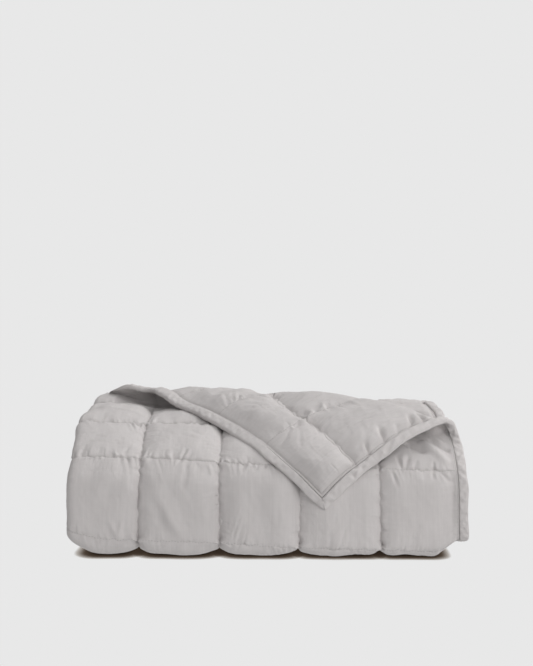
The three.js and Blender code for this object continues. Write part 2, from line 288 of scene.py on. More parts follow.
# Place in the folded quilt of points of the flat one
def folded(w, s, h):
    w, s, h = np.broadcast_arrays(w, s, h)
    newW, newS, newH, shift = turnCorner(w, s, h)
    x, height = double(newW, newS, newH)
    skewed = newS + lay["askew"] * x * clamp((newS - bottomStart) / turned["alongSide"])

    def along(values):
        return np.stack([np.interp(skewed, lineLengths, values[:, axis]) for axis in (0, 1)], -1)

    ways = along(lineWays)
    ways /= np.linalg.norm(ways, axis=-1, keepdims=True)
    place = offLine(along(linePoints), ways, height)
    past = np.maximum(skewed - quiltLength, 0)
    x, depth, height = settle(x + shift, place[..., 0] + past, place[..., 1])
    return np.stack([x + lay["centre"][0], depth + lay["centre"][1], height], -1)


print("folding: quilt", round(quiltWidth, 3), "by", round(quiltLength, 3), "m")

# Seams of the squares, with the bound edges as the first and last
squares = {
    "across": .0985, "along": .1005, "edgeColumn": .1065, "endRow": .0776,
    "binding": .0125, "columns": 9, "turnColumn": 5, "pastTurn": .0115, "lastRow": 1.3,
}
edge = squares["binding"]
columnSeams = [edge] + [squares["edgeColumn"] + squares["across"] * k for k in range(squares["columns"])]
columnSeams = np.array(columnSeams + [quiltWidth - edge])
columnSeams[squares["turnColumn"]] += squares["pastTurn"]
rowSeams = [quiltLength - edge, quiltLength - squares["endRow"]]
while rowSeams[-1] > edge + squares["along"] * squares["lastRow"]:
    rowSeams.append(rowSeams[-1] - squares["along"])
rowSeams = np.array((rowSeams + [edge])[::-1])
columnCount, rowCount = len(columnSeams) - 1, len(rowSeams) - 1


def fromRim(w, s):
    return np.minimum.reduce([w - edge, quiltWidth - edge - w, s - edge, quiltLength - edge - s])


# The sewing isn't quite straight
wander = {
    "amount": .0007, "waveAcross": .23, "waveAlong": .17, "driftAcross": 40, "driftAlong": 30,
    "wiggle": .0006, "wiggleReach": .008, "wiggleApart": .37, "reach": .03,
    "rise": .0046, "riseFrom": .2, "riseOver": .2, "drop": .0024,
    "riseRow": -4, "dropRow": -5, "rowReach": .05,
    "lean": .0075, "leanMiddle": .09, "leanReach": .05, "leanFrom": .03,
}


def nearestSeam(off, seams):
    return np.abs(off[..., None] - seams).argmin(-1)


def wiggled(off, along, seams):
    index = nearestSeam(off, seams)
    beside = bell((off - seams[index]) / wander["wiggleReach"])
    return wander["wiggle"] * beside * tableAt(creaseTable, along + wander["wiggleApart"] * index)


def wandered(w, s):
    inner = ease(fromRim(w, s) / wander["reach"])
    upper, lower = (
        bell((s - rowSeams[wander[row]]) / wander["rowReach"]) for row in ("riseRow", "dropRow")
    )
    along = wander["amount"] * np.sin(2 * np.pi * w / wander["waveAcross"] + wander["driftAcross"] * s)
    along = along + wander["rise"] * begun(wander, "rise", w) * upper - wander["drop"] * lower
    across = wander["amount"] * np.sin(2 * np.pi * s / wander["waveAlong"] + wander["driftAlong"] * w)
    along, across = along + wiggled(s, w, rowSeams), across + wiggled(w, s, columnSeams)
    lean = wander["lean"] * ((quiltLength - s) / wander["leanMiddle"] - 1)
    lean = lean * bell((w - columnSeams[1]) / wander["leanReach"])
    across = across + lean * ease(fromFold(w, s)[1] / wander["leanFrom"])
    return across * inner, along * inner


faces = {
    "pressedInside": .0046, "freeOutside": .0026, "freeOver": .045, "thinnest": -.0042,
    "rimReach": .009, "creaseReach": .003, "groove": .0009, "sagOver": .03,
    "rolled": .15, "rolledFrom": 2.3, "rolledOver": 2.6,
}

# The cover over the filling: flat sheets sewn down along the seams and pulled out by Cloth
cover = {
    "columns": 5, "cells": 28,
    "growAcross": 1.07, "growAlong": 1.04, "vary": .008,
    "cloth": {
        "quality": 5, "mass": .02, "tension_stiffness": 80, "compression_stiffness": 80,
        "shear_stiffness": 8, "bending_stiffness": .5, "air_damping": 2, "vertex_group_mass": "sewn",
    },
    "pull": 8, "frames": 20, "seed": 3,
    "ripple": .0005, "rippleNarrow": 1.3, "rippleLong": 4, "rippleReach": .022, "columnShare": .5,
    "broad": .0002, "broadSize": 9, "dome": .005,
    "softFrom": .62, "fullness": 1.1, "rowTurn": 5, "columnTurn": 3, "leastGap": 1e-6,
}
outsideCover = {
    "rows": 5, "seam": -.0038, "top": .0061, "rim": .0028, "endReach": .009, "sharp": .92, "sag": .003,
    "rowShares": [.5, .08, .42, .75, .95, .95], "columnShare": 1,
    "rowPuckers": [.3, .35, 1.6, 1.4, .8, 0], "endPuckers": .35,
    "rowPucker": .0020, "columnPucker": .0008, "rowFine": .0007, "columnFine": .0009,
    "drape": .0007, "crumple": .0003, "groove": .0004, "grooveAt": .0012,
    "rowGrooves": [.0006, .0002, .0014, .0012, .0014, 0], "columnGroove": .0015,
}
insideCover = {
    "rows": 3, "seam": -.0024, "top": .0090, "rim": .0004, "endReach": .026, "sharp": 1, "sag": 0,
    "rowShares": [1, 1, 1, 1, 1.12, 1], "columnShare": .34,
    "rowPuckers": [1, 1, 1, 1, 1, 0], "endPuckers": 1,
    "rowPucker": .0005, "columnPucker": .0026, "rowFine": .0003, "columnFine": .0016,
    "drape": .0009, "crumple": .0013, "groove": .0026, "grooveAt": .0034,
    "rowGrooves": [.002, .002, .002, .002, .0032, 0], "columnGroove": .0002,
}


def blurred(noise, across, along):
    for axis, spread in ((0, across), (1, along)):
        reach = int(np.ceil(3 * spread))
        shares = np.exp(-.5 * (np.arange(-reach, reach + 1) / spread) ** 2)
        padded = np.pad(noise, [(reach, reach) if axis == a else (0, 0) for a in (0, 1)], mode="reflect")
        noise = np.apply_along_axis(np.convolve, axis, padded, shares / shares.sum(), "valid")
    return noise / noise.std()


# A flat sheet: its grid, the heights that it starts from, and its shape at rest
def coverSheet(side, random):
    cells = cover["cells"]
    across = columnSeams[:cover["columns"] + 1]
    along = rowSeams[-side["rows"] - 1:]

    def spaced(seams):
        steps = [np.linspace(a, b, cells, endpoint=False) for a, b in zip(seams[:-1], seams[1:])]
        return np.concatenate(steps + [[seams[-1]]])

    w, s = np.meshgrid(spaced(across), spaced(along), indexing="ij")
    i, j = np.indices(w.shape)
    u, v = i % cells / cells, j % cells / cells
    sewn = (i % cells == 0) | (j % cells == 0)
    narrow, long = cover["rippleNarrow"], cover["rippleLong"]
    byRow = blurred(random.normal(size=w.shape), narrow, long)
    byColumn = blurred(random.normal(size=w.shape), long, narrow)
    broad = blurred(random.normal(size=w.shape), cover["broadSize"], cover["broadSize"])
    toRow = np.minimum(v, 1 - v) * squares["along"]
    toColumn = np.minimum(u, 1 - u) * squares["across"]
    ripple = byRow * bell(toRow / cover["rippleReach"])
    ripple = ripple + cover["columnShare"] * byColumn * bell(toColumn / cover["rippleReach"])
    loose = cover["dome"] * np.sqrt(np.sin(np.pi * u) * np.sin(np.pi * v))
    loose = loose + cover["ripple"] * ripple + cover["broad"] * broad
    start = np.where(sewn, 0, loose)
    grown = []
    for places, grow, count in (
        (w[:, 0], cover["growAcross"], cover["columns"]), (s[0], cover["growAlong"], side["rows"]),
    ):
        more = np.repeat(random.normal(grow, cover["vary"], count), cells)
        grown.append(summed(np.diff(places) * more))
    rest = np.stack([grown[0][:, None] + 0 * w, grown[1][None] + 0 * w, 0 * w], -1)
    return {"w": w, "s": s, "start": start, "rest": rest, "sewn": sewn}


def gridQuads(index):
    corners = [index[:-1, :-1], index[1:, :-1], index[1:, 1:], index[:-1, 1:]]
    return np.stack(corners, -1).reshape(-1, 4)


def newMesh(name, places, edges, polygons):
    mesh = bpy.data.meshes.new(name)
    mesh.from_pydata(places.tolist(), edges, polygons)
    return mesh


def newObject(name, data):
    thing = bpy.data.objects.new(name, data)
    scene.collection.objects.link(thing)
    return thing


# Cloth pulls the sheet down, so its depth is the height of the cover
def simulated(sheet):
    w, s = sheet["w"], sheet["s"]
    count = w.size
    index = np.arange(count).reshape(w.shape)
    flat = np.stack([w, s, -sheet["start"]], -1).reshape(-1, 3)
    sheetObject = newObject("coverSheet", newMesh("coverSheet", flat, [], gridQuads(index).tolist()))
    sheetObject.vertex_groups.new(name="sewn").add(index[sheet["sewn"]].tolist(), 1, "REPLACE")
    sheetObject.shape_key_add(name="flat")
    rest = sheetObject.shape_key_add(name="rest")
    rest.data.foreach_set("co", sheet["rest"].astype(np.float32).ravel())
    rest.value = 0
    cloth = sheetObject.modifiers.new("cloth", "CLOTH")
    cloth.collision_settings.use_collision = False
    cloth.point_cache.frame_start, cloth.point_cache.frame_end = 1, cover["frames"]
    for name, value in cover["cloth"].items():
        setattr(cloth.settings, name, value)
    cloth.settings.rest_shape_key = rest
    cloth.settings.effector_weights.gravity = cover["pull"]
    for number in range(1, cover["frames"] + 1):
        scene.frame_set(number)
    shown = sheetObject.evaluated_get(bpy.context.evaluated_depsgraph_get())
    places = np.zeros(count * 3, np.float32)
    shown.data.vertices.foreach_get("co", places)
    places = places.reshape(*w.shape, 3).astype(float)
    bpy.data.objects.remove(sheetObject)
    scene.frame_set(1)
    return np.stack([places[..., 0] - w, places[..., 1] - s, -places[..., 2]], -1)


# Shape of a cover: its moves across and along the flat quilt, and its rise from the seams
def coverField(side, random):
    sheet = coverSheet(side, random)
    field = simulated(sheet)
    half = cover["cells"] // 2
    field[..., 2] /= np.median(field[half::cover["cells"], half::cover["cells"], 2])
    return field


random = np.random.default_rng(cover["seed"])
outsideField = coverField(outsideCover, random)
insideField = coverField(insideCover, random)
print("covers:", outsideField.shape, insideField.shape)


# Shares of four neighbours in a smooth curve through them
def cubicShares(t):
    return (
        t * (-.5 + t * (1 - .5 * t)), 1 + t * t * (1.5 * t - 2.5),
        t * (.5 + t * (2 - 1.5 * t)), t * t * .5 * (t - 1),
    )


# A value that is given at the last seams of the rows
def byRows(s, values):
    return np.interp(s, rowSeams[-len(values):], values)


# A cover's moves at any place of the quilt: each square takes a simulated one's shape
def coverAt(field, side, w, s):
    column = np.clip(np.searchsorted(columnSeams, w, side="right") - 1, 0, columnCount - 1)
    row = np.clip(np.searchsorted(rowSeams, s, side="right") - 1, 0, rowCount - 1)
    u = clamp((w - columnSeams[column]) / (columnSeams[column + 1] - columnSeams[column]))
    v = clamp((s - rowSeams[row]) / (rowSeams[row + 1] - rowSeams[row]))
    second = column >= cover["columns"]
    fromColumn = np.where(second, columnCount - 1 - column, column)
    u = np.where(second, 1 - u, u)
    fromEnd = rowCount - 1 - row
    first = fromEnd == rowCount - 1
    kept = side["rows"] - 1
    other = (fromEnd * cover["rowTurn"] + column * cover["columnTurn"]) % kept
    fromRow = np.where(first, kept, np.where(fromEnd < side["rows"], kept - fromEnd, other))
    v = np.where(first, 1 - v, v)
    cells = cover["cells"]
    i = np.minimum((u * cells).astype(int), cells - 1)
    j = np.minimum((v * cells).astype(int), cells - 1)
    moves = np.zeros((*w.shape, 3))
    for m, shareU in enumerate(cubicShares(u * cells - i)):
        for n, shareV in enumerate(cubicShares(v * cells - j)):
            atU = fromColumn * cells + np.clip(i + m - 1, 0, cells)
            atV = fromRow * cells + np.clip(j + n - 1, 0, cells)
            moves += (shareU * shareV)[..., None] * field[atU, atV]
    moves[..., 0] *= np.where(second, -1, 1)
    moves[..., 1] *= np.where(first, -1, 1)
    toColumn = np.minimum(u, 1 - u) * squares["across"] + cover["leastGap"]
    toRow = np.minimum(v, 1 - v) * squares["along"] + cover["leastGap"]
    byRow = toColumn ** 2 / (toColumn ** 2 + toRow ** 2)
    rise = np.maximum(moves[..., 2], 0) ** side["sharp"]
    bend = cover["softFrom"]
    soft = bend + (1 - bend) * (1 - np.exp(-(rise - bend) / (1 - bend)))
    rise = cover["fullness"] * np.where(rise > bend, soft, rise)
    share = mix(side["columnShare"], byRows(s, side["rowShares"]), byRow)
    moves[..., 2] = side["top"] - (side["top"] - side["seam"]) * share * (1 - rise)
    groove = mix(side["columnGroove"], byRows(s, side["rowGrooves"]), byRow)
    moves[..., 2] -= groove * bell(np.minimum(toColumn, toRow) / faces["groove"])
    return moves, rise


# Puckers beside the seams, and soft folds across the squares
puckers = {
    "length": 2.4, "step": .0004, "waves": 150,
    "short": .009, "long": .026, "slowShort": .03, "slowLong": .12, "fineShort": .0055, "fineLong": .011,
    "seamApart": .31, "sideApart": .13, "columnApart": 1.1, "slowApart": 1.7, "slowStretch": .8,
    "from": .002, "reach": .0095, "fineReach": .0055, "fade": 1.4, "slant": .35,
    "reachVary": .6, "reachLimits": (.4, 2.4), "fineLimits": (.2, 2),
    "strength": .75, "vary": .7, "strengthLimits": (.1, 1.6), "level": .75, "most": 1.8, "highest": .0026,
    "endFrom": .09, "endOver": .03,
    "foldShort": .028, "foldLong": .075, "foldRun": 3.2, "folds": 26, "seed": 21,
    "crumpleShort": .014, "crumpleLong": .05, "crumples": 9, "creaseFade": .8,
}


def waveTable(chance, short, long):
    places = np.arange(0, puckers["length"], puckers["step"])
    cycles = np.round(puckers["length"] / chance.uniform(short, long, puckers["waves"]))
    starts = chance.uniform(0, 2 * np.pi, puckers["waves"])
    waves = np.zeros(len(places))
    for cycle, start in zip(cycles, starts):
        waves += np.sin(2 * np.pi * cycle * places / puckers["length"] + start)
    return waves / waves.std()


chance = np.random.default_rng(puckers["seed"])
creaseTable = waveTable(chance, puckers["short"], puckers["long"])
slowTable = waveTable(chance, puckers["slowShort"], puckers["slowLong"])
fineTable = waveTable(chance, puckers["fineShort"], puckers["fineLong"])
foldWaves = 2 * np.pi / chance.uniform(puckers["foldShort"], puckers["foldLong"], puckers["folds"])
foldRuns = foldWaves * chance.normal(0, 1 / puckers["foldRun"], puckers["folds"])
foldStarts = chance.uniform(0, 2 * np.pi, puckers["folds"])
crumpleLengths = chance.uniform(puckers["crumpleShort"], puckers["crumpleLong"], puckers["crumples"])
crumpleTurns = chance.uniform(0, np.pi, puckers["crumples"])


def tableAt(table, place):
    return np.interp(place % puckers["length"], np.arange(len(table)) * puckers["step"], table)


def puckersAt(w, s, side):
    total = np.zeros(w.shape)
    byRow = byRows(s, side["rowPuckers"]) * mix(side["endPuckers"], 1, begun(puckers, "end", w))

    def sharp(wave):
        return np.minimum(np.abs(wave), puckers["most"]) - puckers["level"]

    def faded(away, reach):
        return np.exp(-(away / reach) ** puckers["fade"])

    for seams, along, off, amount, fine, shift in (
        (rowSeams, w, s, side["rowPucker"] * byRow, side["rowFine"], 0),
        (columnSeams, s, w, side["columnPucker"], side["columnFine"], puckers["columnApart"]),
    ):
        index = nearestSeam(off, seams)
        beside = off - seams[index]
        away = np.abs(beside)
        start = shift + puckers["seamApart"] * index + np.where(beside > 0, puckers["sideApart"], 0)
        slow = tableAt(slowTable, along + start * puckers["slowApart"])
        other = tableAt(slowTable, along * puckers["slowStretch"] - start)
        crease = tableAt(creaseTable, along + start + puckers["slant"] * away * np.clip(other, -1, 1))
        varied = 1 + puckers["reachVary"] * other
        reach = puckers["reach"] * np.clip(varied, *puckers["reachLimits"])
        strength = np.clip(puckers["strength"] + puckers["vary"] * slow, *puckers["strengthLimits"])
        beside = clamp(away / puckers["from"])
        total += amount * strength * sharp(crease) * beside * faded(away, reach)
        short = fine * np.clip(varied, *puckers["fineLimits"]) * sharp(tableAt(fineTable, along - start))
        total += short * beside * faded(away, puckers["fineReach"])
    return np.where(total > 0, puckers["highest"] * np.tanh(total / puckers["highest"]), total)


# Single creases: across and back from the end at both ends, depth and width
outsideCreases = [
    (.456, .2516, .430, .2506, .0009, .0020),
    (.0719, .2295, .0469, .2496, .0075, .0050),
    (.0519, .2265, .0210, .2676, -.0055, .0055),
    (.0289, .2005, .0050, .2115, .0050, .0050),
    (.0479, .2035, .0230, .2275, -.0035, .0045),
    (.0400, .2200, .0180, .2450, .0045, .0035),
    (.0838, .2586, .0788, .2786, .0034, .0022),
    (.0689, .2586, .0758, .2786, .0034, .0022),
    (.0765, .2560, .0770, .2760, -.0020, .0030),
    (.0600, .2640, .0630, .2780, .0026, .0020),
    (.0389, .2646, .0429, .2907, .0034, .0018),
    (.0219, .2937, .0349, .2797, .0022, .0020),
    (.0870, .2990, .0900, .2820, .0026, .0024),
    (.4550, .0480, .3300, .0600, .0090, .0210),
    (.4020, .0500, .4020, .1050, .0045, .0110),
    (.453, .2747, .452, .2646, .0012, .0018),
    (.423, .2726, .418, .2566, .0020, .0026),
    (.419, .2747, .420, .2887, .0014, .0022),
    (.349, .2747, .347, .2566, .0016, .0022),
    (.345, .2807, .343, .2977, .0016, .0030),
    (.343, .2977, .348, .3198, .0012, .0050),
    (.332, .2847, .327, .2937, .0014, .0022),
    (.317, .2837, .311, .2997, -.0016, .0025),
    (.262, .2686, .260, .2907, .0013, .0018),
    (.436, .3580, .428, .3760, -.0014, .0030),
    (.421, .3580, .4255, .3760, -.0014, .0030),
    (.418, .3660, .4165, .3780, .0014, .0040),
    (.3815, .3210, .348, .3750, -.0020, .0060),
    (.3775, .3450, .362, .3780, .0014, .0070),
    (.366, .3100, .342, .3550, .0012, .0070),
    (.343, .2105, .329, .2255, .0008, .0030),
    (.480, .1240, .407, .1474, -.0024, .0060),
]
insideCreases = [
    (.0110, .1243, .0290, .1243, .0075, .0020),
    (.0110, .1504, .0340, .1544, .0075, .0020),
    (.0110, .1624, .0350, .1654, .0070, .0022),
    (.0110, .1002, .0250, .1022, .0060, .0018),
    (.0110, .1393, .0230, .1393, .0026, .0020),
    (.0150, .1370, .0300, .1350, -.0016, .0050),
    (.0150, .1130, .0290, .1120, -.0014, .0050),
    (.087, .0501, .068, .0361, .0012, .0030),
    (.092, .0241, .103, .0501, .0016, .0026),
    (.103, .0501, .100, .0652, .0016, .0024),
]


def creasesAt(w, s, creases):
    total = np.zeros(w.shape)
    back = quiltLength - s
    for fromW, fromBack, toW, toBack, depth, width in creases:
        long = (toW - fromW) ** 2 + (toBack - fromBack) ** 2
        t = clamp(((w - fromW) * (toW - fromW) + (back - fromBack) * (toBack - fromBack)) / long)
        away = np.hypot(w - mix(fromW, toW, t), back - mix(fromBack, toBack, t))
        total -= depth * bell(away / width) * (1 - (2 * t - 1) ** 4 * puckers["creaseFade"])
    return total


def foldsAt(w, s):
    total = np.zeros(w.shape)
    for wave, run, start in zip(foldWaves, foldRuns, foldStarts):
        total += np.sin(wave * w + run * s + start)
    return total / np.sqrt(puckers["folds"] / 2)


# Sharp shallow dents that cross each other, as cloth keeps from handling
def crumplesAt(w, s):
    total = np.zeros(w.shape)
    for wave, turn in zip(2 * np.pi / crumpleLengths, crumpleTurns):
        place = wave * (w * math.cos(turn) + s * math.sin(turn)) + tableAt(slowTable, w - s + turn)
        total += 2 / np.pi - np.abs(np.sin(place))
    return total / np.sqrt(puckers["crumples"])


coverSides = {
    True: (outsideCover, outsideField, outsideCreases), False: (insideCover, insideField, insideCreases),
}


# Flat place and height of a face of the quilt
def facePoint(w, s, outside):
    w, s = np.broadcast_arrays(np.asarray(w, float), np.asarray(s, float))
    side, field, creases = coverSides[outside]
    t, q = fromFold(w, s)
    free = ease(q / faces["freeOver"])
    if not outside:
        free = np.maximum(free, begun(bare, "lift", fromFold(quiltWidth - w, s)[1]))
    moves, rise = coverAt(field, side, w, s)
    rim = fromRim(w, s)
    inner = ease(rim / faces["rimReach"]) * ease((quiltLength - edge - s) / side["endReach"])
    top = side["top"]
    if outside:
        keep = mix(1, (top - faces["freeOutside"]) / (top - side["seam"]), free)
    else:
        keep = mix((top - faces["pressedInside"]) / (top - side["seam"]), 1, free)
        top = mix(lay["loft"], top, free)
    shown = ease((s - bottomStart) / squares["along"])
    h = top + (moves[..., 2] - side["top"]) * keep
    flat = shown * inner
    if not outside:
        past = begun(faces, "rolled", q / rollAt(t)[1])
        flat = flat * np.where(q > 0, mix(faces["rolled"], 1, past), 1)
    h = h + flat * (puckersAt(w, s, side) + side["drape"] * clamp(rise) * foldsAt(w, s))
    h = h + flat * side["crumple"] * clamp(rise) * crumplesAt(w, s)
    h = h + side["sag"] * clamp(rise) * bell((s - lowPlace) / faces["sagOver"])
    h = mix(side["rim"], h, inner) - side["groove"] * bell((rim - side["grooveAt"]) / faces["groove"])
    h = h + ease(rim / faces["creaseReach"]) * creasesAt(w, s, creases)
    h = h if outside else np.maximum(h, faces["thinnest"])
    across, along = wandered(w, s)
    return w + moves[..., 0] + across, s + moves[..., 1] + along, h if outside else -h


def facePlace(w, s, outside, lift=0):
    w, s, h = facePoint(w, s, outside)
    return folded(w, s, h + (lift if outside else -lift))


# Lines of the quilt's mesh: closer together where it shows, by the seams and round its turns
meshLines = {
    "shownAcross": .0016, "shownAlong": .0021, "shownFrom": .41, "closest": .0006,
    "besideSeam": [-.002, -.0008, .0008, .002], "besideTuck": [-.0016, -.0008, 0, .0008, .0016],
    "besideRim": [.0012, .0022, .0032, .0042], "plainCells": 5, "bareCells": 18, "turnCells": 10,
}


def tidied(lines, kept):
    done = []
    for place in sorted(lines):
        place = next((seam for seam in kept if abs(seam - place) < meshLines["closest"]), place)
        if not done or place - done[-1] > meshLines["closest"]:
            done.append(place)
    return np.array(done)


def spread(seams, isShown, step, otherCells):
    lines = list(seams)
    for a, b in zip(seams[:-1], seams[1:]):
        cells = int(np.ceil((b - a) / step)) if isShown((a + b) / 2) else otherCells
        lines.extend(np.linspace(a, b, cells + 1)[1:-1])
    shown = [seam for seam in seams[1:-1] if isShown(seam)]
    lines.extend(seam + off for seam in shown for off in meshLines["besideSeam"])
    lines.extend(seams[0] + off for off in meshLines["besideRim"])
    lines.extend(seams[-1] - off for off in meshLines["besideRim"])
    return lines


def linesAcross():
    end = straightAcross + turnAcross
    lines = spread(columnSeams, lambda w: w < end, meshLines["shownAcross"], meshLines["bareCells"])
    lines = [w for w in lines if not straightAcross < w < end]
    lines.extend(np.linspace(straightAcross, end, meshLines["turnCells"] + 1))
    return tidied(lines, list(columnSeams))


def linesAlong():
    shownFrom = quiltLength - meshLines["shownFrom"]
    lines = spread(rowSeams, lambda s: s > shownFrom, meshLines["shownAlong"], meshLines["plainCells"])
    for run in range(lastRun + 1):
        a, b = lineLengths[straights[run][1]], lineLengths[straights[run + 1][0]]
        lines = [s for s in lines if run == lastRun or not a < s < b or s in rowSeams]
        lines.extend(np.linspace(a, b, meshLines["turnCells"] + 1))
    tucks = [quiltLength - crease[1] for crease in insideCreases]
    lines.extend(tuck + off for tuck in tucks for off in meshLines["besideTuck"])
    return tidied(lines, list(rowSeams))


def newPiece(name, places, polygons, flat):
    mesh = newMesh(name, places, [], polygons.tolist())
    mesh.polygons.foreach_set("use_smooth", np.ones(len(mesh.polygons), bool))
    corners = np.zeros(len(mesh.loops), np.int32)
    mesh.loops.foreach_get("vertex_index", corners)
    layer = mesh.uv_layers.new(name="flatCloth")
    layer.uv.foreach_set("vector", flat[corners].astype(np.float32).ravel())
    mesh.validate()
    return newObject(name, mesh)


# Both faces of the quilt, joined along the trimmed edge
def quiltPiece():
    w, s = np.meshgrid(linesAcross(), linesAlong(), indexing="ij")
    count = w.size
    index = np.arange(count).reshape(w.shape)
    out = gridQuads(index)[:, [0, 3, 2, 1]]
    rim = np.concatenate([index[:-1, 0], index[-1, :-1], index[:0:-1, -1], index[0, :0:-1]])
    after = np.roll(rim, -1)
    wall = np.stack([rim, after, after + count, rim + count], -1)
    polygons = np.concatenate([out, out[:, ::-1] + count, wall])
    places = np.concatenate([facePlace(w, s, side).reshape(-1, 3) for side in (True, False)])
    flat = np.stack([.5 * w / quiltWidth, s / quiltLength], -1).reshape(-1, 2)
    flat = np.concatenate([flat, flat + [.5, 0]])
    print("quilt:", w.shape, 2 * len(polygons), "triangles")
    return newPiece("quiltedField", places, polygons, flat), w, s


quilt, fieldW, fieldS = quiltPiece()

# The binding: a strip folded over the trimmed edge, mitred at the corners
binding = {
    "gap": .0003, "turn": .0003,
    "outs": [0, .05, .14, .3, .5, .7, .86, .96, 1],          # shares of the width, from the stitching out
    "heights": [.0010, .0027, .0033, .0036, .0036, .0035, .0031, .0022, 0],
    "ripple": .34, "rippleAtEnd": .22, "rippleLength": .016, "ripples": 14, "rippleLimits": (.6, 1.9),
    "slant": 1.1, "wave": .0005, "waves": 4, "waveShare": .25, "seed": 8,
    "fan": [0, .3, .6, .85, .94], "mitre": .5, "cornerReach": .93, "cornerSharp": 6,
    "pleats": [.213, .223, .235, .247, .259, .301],
    "pleatDepth": .0020, "pleatWidth": .0022, "pleatLean": .7,
}


# Stations round the trimmed edge with their way out, spread like a fan at each corner
def bindingStations():
    w, s = fieldW, fieldS
    sides = [
        (w[:-1, 0], s[:-1, 0], (0, -1)), (w[-1, :-1], s[-1, :-1], (1, 0)),
        (w[:0:-1, -1], s[:0:-1, -1], (0, 1)), (w[0, :0:-1], s[0, :0:-1], (-1, 0)),
    ]
    stations = []
    for (atW, atS, out), (_, _, before) in zip(sides, sides[-1:] + sides[:-1]):
        out, before = np.array(out), np.array(before)
        ways = [before + k * out for k in binding["fan"]] + [before + out]
        ways += [out + k * before for k in binding["fan"][::-1]]
        stations += [(atW[0], atS[0], *way) for way in ways]
        stations += [(a, b, *out) for a, b in zip(atW[1:], atS[1:])]
    return np.array(stations).T


def bindingPiece():
    atW, atS, outW, outS = bindingStations()
    share = np.minimum(np.abs(outW), np.abs(outS))                # 0 along the sides, 1 on the mitre
    middleW, middleS = atW + outW * edge / 2, atS + outS * edge / 2
    steps = np.hypot(np.diff(middleW, append=middleW[0]), np.diff(middleS, append=middleS[0]))
    along = summed(steps)[:-1]
    outs = np.array(binding["outs"] + binding["outs"][-2::-1])
    signs = np.array([1] * len(binding["outs"]) + [-1] * (len(binding["outs"]) - 1))
    heights = np.array(binding["heights"] + binding["heights"][-2::-1]) * signs
    outs = binding["gap"] + outs * (edge - binding["turn"] - binding["gap"])
    chance = np.random.default_rng(binding["seed"])
    count, slow = binding["ripples"], binding["waves"]
    waves = chance.uniform(*binding["rippleLimits"], count) / binding["rippleLength"]
    starts, slants = chance.uniform(0, 2 * np.pi, count), chance.normal(0, binding["slant"], count)
    leant = along[:, None, None] + outs[None, :, None] * slants
    ripple = np.sin(2 * np.pi * waves * leant + starts + signs[None, :, None]).sum(2) / np.sqrt(count)
    amount = np.where(np.abs(outS) == 1, binding["rippleAtEnd"], binding["ripple"])[:, None]
    rounded = np.sqrt(np.sin(np.pi * clamp(outs / edge)))
    tall = (1 + amount * ripple * rounded) * np.where(share == 1, binding["mitre"], 1)[:, None]
    back = quiltLength - atS[:, None] - binding["pleatLean"] * (outs - edge / 2)
    pleats = sum(bell((back - place) / binding["pleatWidth"]) for place in binding["pleats"])
    pleats = binding["pleatDepth"] * pleats * ((outW == -1) & (outS == 0))[:, None] * (signs > 0)
    turns = 2 * np.pi * waves[:slow] * binding["waveShare"] * along[:, None] + starts[:slow]
    wave = binding["wave"] * np.sin(turns).sum(1) / np.sqrt(slow)
    cut = (1 - binding["cornerReach"]) * share ** binding["cornerSharp"]
    reach = outs[None] * (1 + wave / edge * (1 - share) - cut)[:, None]
    heights = heights * tall - pleats * rounded
    places = folded(atW[:, None] + outW[:, None] * reach, atS[:, None] + outS[:, None] * reach, heights)
    rings, points = len(atW), len(outs)
    index = np.arange(rings * points).reshape(rings, points)
    after, other = np.roll(index, -1, 0), np.roll(index, -1, 1)
    polygons = np.stack([index, after, np.roll(after, -1, 1), other], -1).reshape(-1, 4)
    whole = along[-1] + steps[-1]
    flat = np.stack(np.broadcast_arrays(along[:, None] / whole, np.linspace(0, 1, points)[None]), -1)
    print("binding:", rings, "stations,", 2 * len(polygons), "triangles")
    return newPiece("bindingStrip", places.reshape(-1, 3), polygons, flat.reshape(-1, 2)), whole


bindingStrip, bindingLength = bindingPiece()


# Nodes with their fields and the values of their inputs, and links as node, output, node, input
def setInputs(node, values):
    for name, value in values.items():
        node.inputs[name].default_value = value


def newNode(tree, kind, values=None, **fields):
    node = tree.nodes.new(kind)
    for name, value in fields.items():
        setattr(node, name, value)
    setInputs(node, values or {})
    return node


def join(tree, *links):
    for source, output, target, place in links:
        tree.links.new(source.outputs[output], target.inputs[place])


def newSockets(tree, way, **kinds):
    for name, kind in kinds.items():
        tree.interface.new_socket(name, in_out=way, socket_type="NodeSocket" + kind)


def ofType(sockets, kind):
    return [socket for socket in sockets if socket.type == kind]


def newMaterial(name):
    material = bpy.data.materials.new(name)
    material.use_nodes = True
    return material, material.node_tree, material.node_tree.nodes["Principled BSDF"]


# Linen: threads both ways, slubs along them and slow changes of tone, by place on the flat cloth
weaveLook = {                     # stretch, detail and share of each noise
    "slubs": ((760, 17, 1), 2, 1), "cross": ((19, 830, 1), 2, .4), "streaks": ((260, 9, 1), 2, .9),
    "clouds": ((16, 9, 1), 3, .7), "crumples": ((75, 60, 1), 4, 8),
    "middle": .5, "threadTone": .1, "threadHeight": .4,
}


